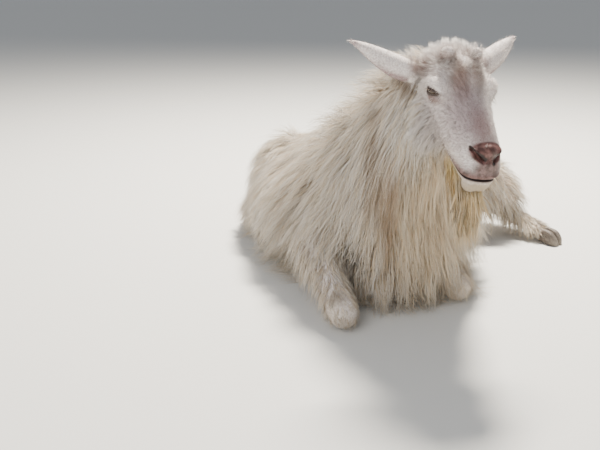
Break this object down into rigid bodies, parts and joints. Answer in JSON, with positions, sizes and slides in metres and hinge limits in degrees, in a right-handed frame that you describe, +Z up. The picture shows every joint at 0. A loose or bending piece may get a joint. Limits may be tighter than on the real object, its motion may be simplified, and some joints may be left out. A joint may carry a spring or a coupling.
{
  "type": "long-haired white goat",
  "caption": "Life-size still model of a long-haired, hornless white goat lying on its breast, with a beard and a coat that hangs to the floor.",
  "frame": {"origin": "on the floor, under the breastbone, where the trunk rests", "axes": "+Z up; -Y the way the goat looks; -X its right side"},
  "size_m": [0.9502, 1.2598, 0.6479],
  "materials": {
    "white_coat": "long silky hair",
    "cream_coat": "long silky hair, yellowed",
    "bare_skin": "soft bare skin",
    "hoof_horn": "worn horn",
    "eye": "wet and glossy"
  },
  "bodies": {
    "root": {"head": "white_coat", "beard": "cream_coat", "ear_right": "white_coat", "ear_left": "white_coat", "eye_right": "eye", "eye_left": "eye", "neck": "cream_coat", "torso": "white_coat", "tail": "white_coat", "forearm_right": "white_coat", "forearm_left": "white_coat", "front_cannon_right": "white_coat", "front_cannon_left": "white_coat", "front_hoof_right": "hoof_horn", "front_hoof_left": "hoof_horn", "thigh_right": "white_coat", "thigh_left": "white_coat", "shank_right": "white_coat", "shank_left": "white_coat", "hind_cannon_right": "white_coat", "hind_cannon_left": "white_coat", "hind_hoof_right": "hoof_horn", "hind_hoof_left": "hoof_horn"}
  },
  "joints": []
}
